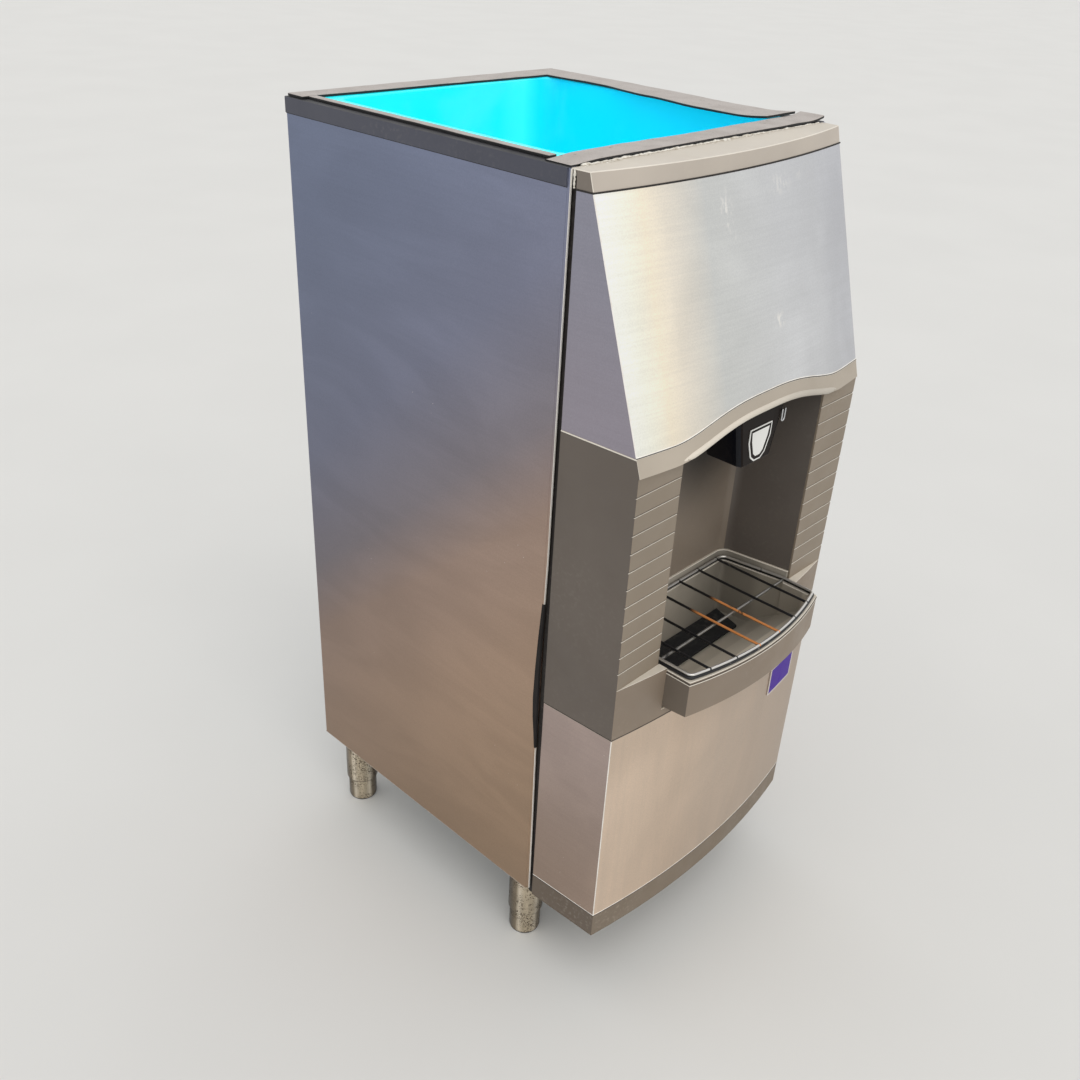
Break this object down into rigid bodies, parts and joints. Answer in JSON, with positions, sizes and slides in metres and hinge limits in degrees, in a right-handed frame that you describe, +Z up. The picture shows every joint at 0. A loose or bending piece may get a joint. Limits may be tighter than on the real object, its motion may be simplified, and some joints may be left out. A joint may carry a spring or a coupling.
{
  "type": "ice dispenser",
  "caption": "Free-standing ice dispenser: a steel cabinet with an open insulated bin, a rocking chute over an alcove, a drip tray with a wire grille, and adjustable legs.",
  "frame": {"origin": "on the floor under the middle of the whole object's box", "axes": "+Z up, +X to the right as seen from the front, and the front faces -Y"},
  "size_m": [0.5626, 0.7914, 1.3408],
  "materials": {
    "brushed_steel": "satin",
    "galvanised_sheet": "matte",
    "worn_steel": "matte",
    "bright_steel": "satin",
    "bin_plastic": "satin",
    "insulating_foam": "matte",
    "rim_plastic": "matte",
    "foam_tape": "matte",
    "grey_moulding": "matte",
    "alcove_plastic": "matte",
    "badge_film": "satin",
    "black_rubber": "matte",
    "coated_wire": "satin",
    "white_plastic": "satin",
    "motor_paint": "satin",
    "black_gloss": "gloss",
    "white_label": "satin"
  },
  "bodies": {
    "cabinet": {"side_panel_left": "brushed_steel", "side_panel_right": "brushed_steel", "rear_panel": "galvanised_sheet", "base_pan": "galvanised_sheet", "front_bulkhead": "galvanised_sheet", "bin_deck": "galvanised_sheet", "bin_liner": "bin_plastic", "bin_insulation": "insulating_foam", "rim_band_left": "rim_plastic", "rim_band_right": "rim_plastic", "rim_band_rear": "rim_plastic", "foam_strip_rear": "foam_tape", "foam_strip_front": "foam_tape", "foam_strip_right": "foam_tape", "foam_strip_left": "foam_tape", "top_cap": "grey_moulding", "upper_front_panel": "brushed_steel", "mid_fascia": "grey_moulding", "lower_front_panel": "brushed_steel", "kick_trim": "grey_moulding", "badge_plate": "badge_film", "fascia_gasket_left": "black_rubber", "fascia_gasket_right": "black_rubber", "alcove_liner": "alcove_plastic", "sink_basin": "grey_moulding", "sink_drain_hose": "white_plastic", "bin_drain_hose": "white_plastic", "sink_drain_outlet": "white_plastic", "bin_drain_outlet": "white_plastic", "leg_tube_front_left": "worn_steel", "leg_tube_front_right": "worn_steel", "leg_tube_rear_left": "worn_steel", "leg_tube_rear_right": "worn_steel", "gearbox": "motor_paint", "drive_motor": "motor_paint", "shaft_bush": "white_plastic", "outlet_throat": "alcove_plastic", "gate_hinge_pin": "bright_steel", "gate_solenoid": "motor_paint", "chute_bracket_left": "galvanised_sheet", "chute_bracket_right": "galvanised_sheet", "chute_spring": "bright_steel", "chute_switch": "black_gloss", "control_box": "galvanised_sheet", "control_box_lid": "galvanised_sheet", "cord_gland": "black_rubber"},
    "dispensing_wheel": {"drive_shaft": "bright_steel", "paddle_wheel": "white_plastic", "agitator_bar": "bright_steel"},
    "gate": {"ice_gate": "bright_steel"},
    "plunger": {"solenoid_plunger": "bright_steel"},
    "chute": {"ice_chute": "black_gloss", "chute_label_plate": "white_label"},
    "button": {"switch_button": "white_plastic"},
    "grille": {"wire_grille": "coated_wire"},
    "mat": {"sink_mat": "black_rubber"},
    "foot_front_left": {"levelling_foot_front_left": "worn_steel"},
    "foot_front_right": {"levelling_foot_front_right": "worn_steel"},
    "foot_rear_left": {"levelling_foot_rear_left": "worn_steel"},
    "foot_rear_right": {"levelling_foot_rear_right": "worn_steel"}
  },
  "joints": [
    {"name": "wheel_spin", "type": "hinge", "parent": "cabinet", "child": "dispensing_wheel", "pos_m": [0, -0.09925, 0.985], "axis": [0, 1, 0], "continuous": true},
    {"name": "gate_swing", "type": "hinge", "parent": "cabinet", "child": "gate", "pos_m": [0, -0.23905, 1.112], "axis": [-1, 0, 0], "range_deg": [0, 45], "stiffness_Nm_per_rad": 0.06, "springref_deg": -40.11},
    {"name": "plunger_pull", "type": "slide", "parent": "cabinet", "child": "plunger", "axis": [0, 1, 0], "range_m": [0, 0.01215]},
    {"name": "chute_rock", "type": "hinge", "parent": "cabinet", "child": "chute", "pos_m": [0, -0.26925, 1.032], "axis": [1, 0, 0], "range_deg": [0, 6], "stiffness_Nm_per_rad": 1.2, "springref_deg": -11.46},
    {"name": "button_press", "type": "slide", "parent": "cabinet", "child": "button", "axis": [0, 0, 1], "range_m": [0, 0.0024]},
    {"name": "grille_lift", "type": "slide", "parent": "cabinet", "child": "grille", "axis": [0, 0, 1], "range_m": [0, 0.06]},
    {"name": "mat_lift", "type": "slide", "parent": "cabinet", "child": "mat", "axis": [0, 0, 1], "range_m": [0, 0.05]},
    {"name": "foot_front_left_level", "type": "slide", "parent": "cabinet", "child": "foot_front_left", "axis": [0, 0, -1], "range_m": [0, 0.015]},
    {"name": "foot_front_right_level", "type": "slide", "parent": "cabinet", "child": "foot_front_right", "axis": [0, 0, -1], "range_m": [0, 0.015]},
    {"name": "foot_rear_left_level", "type": "slide", "parent": "cabinet", "child": "foot_rear_left", "axis": [0, 0, -1], "range_m": [0, 0.015]},
    {"name": "foot_rear_right_level", "type": "slide", "parent": "cabinet", "child": "foot_rear_right", "axis": [0, 0, -1], "range_m": [0, 0.015]}
  ],
  "couplings": [
    {"joint": "plunger_pull", "follows": "gate_swing", "m_per_rad": 0.01528},
    {"joint": "button_press", "follows": "chute_rock", "m_per_rad": 0.0215}
  ]
}
